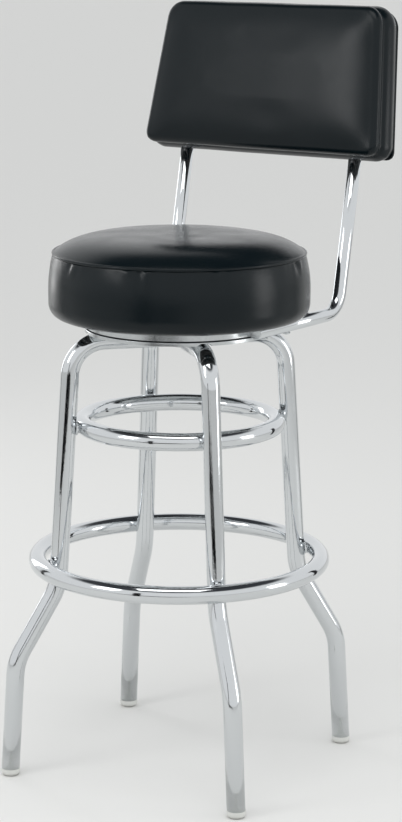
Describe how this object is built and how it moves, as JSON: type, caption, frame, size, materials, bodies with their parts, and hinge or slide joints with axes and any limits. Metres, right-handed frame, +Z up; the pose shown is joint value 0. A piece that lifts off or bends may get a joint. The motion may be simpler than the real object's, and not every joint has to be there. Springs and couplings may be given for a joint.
{
  "type": "swivel counter stool",
  "caption": "Counter stool with a round padded seat and a padded back on bent posts, turning on a ball bearing over a splayed base of bent steel tube with foot rings.",
  "frame": {"origin": "on the floor, under the middle of the whole stool's bounding box; the swivel axis stands 35.6 mm in front of it", "axes": "+Z up, +X to the right as seen from the front, -Y towards the front of the seat"},
  "size_m": [0.4234, 0.4942, 1.0619],
  "materials": {
    "chrome_tube": "polished",
    "zinc_steel": "satin",
    "bearing_steel": "polished",
    "black_vinyl": "gloss",
    "plywood": "matte",
    "pale_plastic": "satin"
  },
  "bodies": {
    "base": {"leg_arch": "chrome_tube", "leg_front_right": "chrome_tube", "leg_rear_left": "chrome_tube", "upper_ring": "chrome_tube", "foot_ring": "chrome_tube", "glide_rear_right": "pale_plastic", "glide_front_left": "pale_plastic", "glide_front_right": "pale_plastic", "glide_rear_left": "pale_plastic", "swivel_lower_plate": "zinc_steel", "lower_race": "bearing_steel", "swivel_pin": "bearing_steel", "pin_washer": "zinc_steel", "pin_nut": "zinc_steel"},
    "bearing": {"ball_cage": "zinc_steel", "ball_1": "bearing_steel", "ball_2": "bearing_steel", "ball_3": "bearing_steel", "ball_4": "bearing_steel", "ball_5": "bearing_steel", "ball_6": "bearing_steel", "ball_7": "bearing_steel", "ball_8": "bearing_steel", "ball_9": "bearing_steel", "ball_10": "bearing_steel"},
    "seat": {"upper_race": "bearing_steel", "swivel_upper_plate": "zinc_steel", "plate_screw_1": "zinc_steel", "plate_screw_2": "zinc_steel", "plate_screw_3": "zinc_steel", "plate_screw_4": "zinc_steel", "seat_board": "plywood", "arm_bolt_1": "zinc_steel", "arm_bolt_2": "zinc_steel", "arm_bolt_3": "zinc_steel", "arm_bolt_4": "zinc_steel", "tee_nut_1": "zinc_steel", "tee_nut_2": "zinc_steel", "tee_nut_3": "zinc_steel", "tee_nut_4": "zinc_steel", "post_left": "chrome_tube", "post_right": "chrome_tube", "arm_plug_left": "zinc_steel", "arm_plug_right": "zinc_steel", "seat_cushion": "black_vinyl", "seat_welt": "black_vinyl", "back_board": "plywood", "back_screw_left_low": "zinc_steel", "back_screw_left_high": "zinc_steel", "back_screw_right_low": "zinc_steel", "back_screw_right_high": "zinc_steel", "back_cushion": "black_vinyl", "back_panel": "black_vinyl", "back_welt": "black_vinyl"}
  },
  "joints": [
    {"name": "seat_swivel", "type": "hinge", "parent": "base", "child": "seat", "pos_m": [0, -0.03559, 0.6333], "axis": [0, 0, 1], "continuous": true},
    {"name": "bearing_roll", "type": "hinge", "parent": "base", "child": "bearing", "pos_m": [0, -0.03559, 0.6333], "axis": [0, 0, 1], "continuous": true}
  ],
  "couplings": [
    {"joint": "bearing_roll", "follows": "seat_swivel", "ratio": 0.5}
  ]
}
